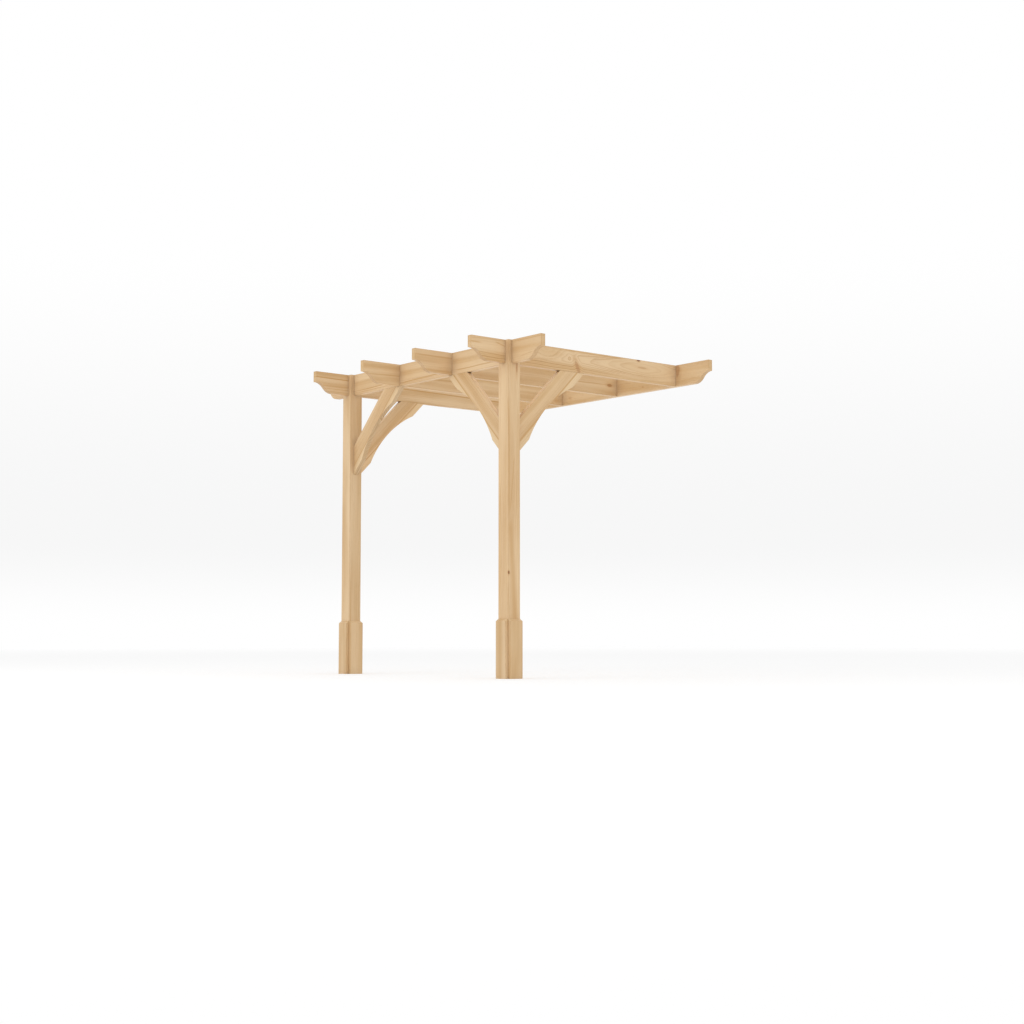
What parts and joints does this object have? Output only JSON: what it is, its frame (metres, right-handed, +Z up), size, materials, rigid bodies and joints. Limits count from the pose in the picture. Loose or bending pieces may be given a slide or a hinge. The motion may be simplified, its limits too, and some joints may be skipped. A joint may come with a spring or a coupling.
{
  "type": "wall-mounted pergola",
  "caption": "Open timber pergola for a wall: posts with clad feet and curved braces carry a front beam, and rafters with shaped tips run back to a wall plate.",
  "frame": {"origin": "middle of the wall plate's back face, where it lies on the wall, at half the plate's depth", "axes": "+X to the right along the wall plate as seen from the front, +Y into the wall, +Z up; the ground is at z = -2.0275 m"},
  "size_m": [2.4, 1.8, 2.1],
  "materials": {
    "post_timber": "planed pale pine, matt",
    "base_timber": "planed pale pine, matt",
    "board_timber": "planed pale pine, matt",
    "brace_timber": "planed pale pine, matt"
  },
  "bodies": {
    "root": {"right_post": "post_timber", "left_post": "post_timber", "right_outer_base_board": "base_timber", "right_back_base_board": "base_timber", "right_inner_base_board": "base_timber", "right_front_base_board": "base_timber", "left_outer_base_board": "base_timber", "left_back_base_board": "base_timber", "left_inner_base_board": "base_timber", "left_front_base_board": "base_timber", "front_beam": "board_timber", "wall_plate": "board_timber", "right_end_rafter": "board_timber", "right_middle_rafter": "board_timber", "left_middle_rafter": "board_timber", "left_end_rafter": "board_timber", "right_front_brace": "brace_timber", "left_front_brace": "brace_timber", "right_side_brace": "brace_timber", "left_side_brace": "brace_timber"}
  },
  "joints": []
}
